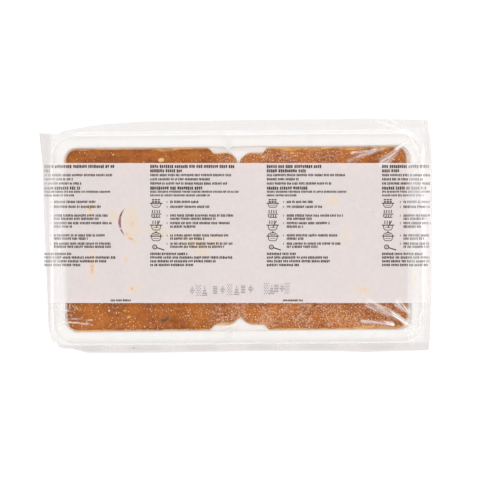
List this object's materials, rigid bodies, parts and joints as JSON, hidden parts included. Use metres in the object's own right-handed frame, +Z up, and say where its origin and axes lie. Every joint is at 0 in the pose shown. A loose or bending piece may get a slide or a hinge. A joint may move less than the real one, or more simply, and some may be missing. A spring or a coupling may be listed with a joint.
{
  "type": "frozen soup tray pack",
  "caption": "Frozen condensed soup set in blocks in a divided white plastic tray, wrapped in clear film with a broad white printed band.",
  "frame": {"origin": "middle of the pack's underside, the centre of the wrapped outline at floor height", "axes": "+X along the pack to the right in the picture, +Y towards the picture's top edge, +Z up out of the printed side"},
  "size_m": [0.3144, 0.1876, 0.054],
  "materials": {
    "film": "thin clear wrapping film, glossy and creased, with a broad half-opaque white band that carries small dark print",
    "tray_plastic": "smooth white thermoformed tray, soft satin gloss",
    "soup": "frozen orange-brown soup with pale frost grains and small chunks"
  },
  "bodies": {
    "root": {"film_wrap": "film", "tray": "tray_plastic", "soup_block_left": "soup", "soup_block_right": "soup"}
  },
  "joints": []
}
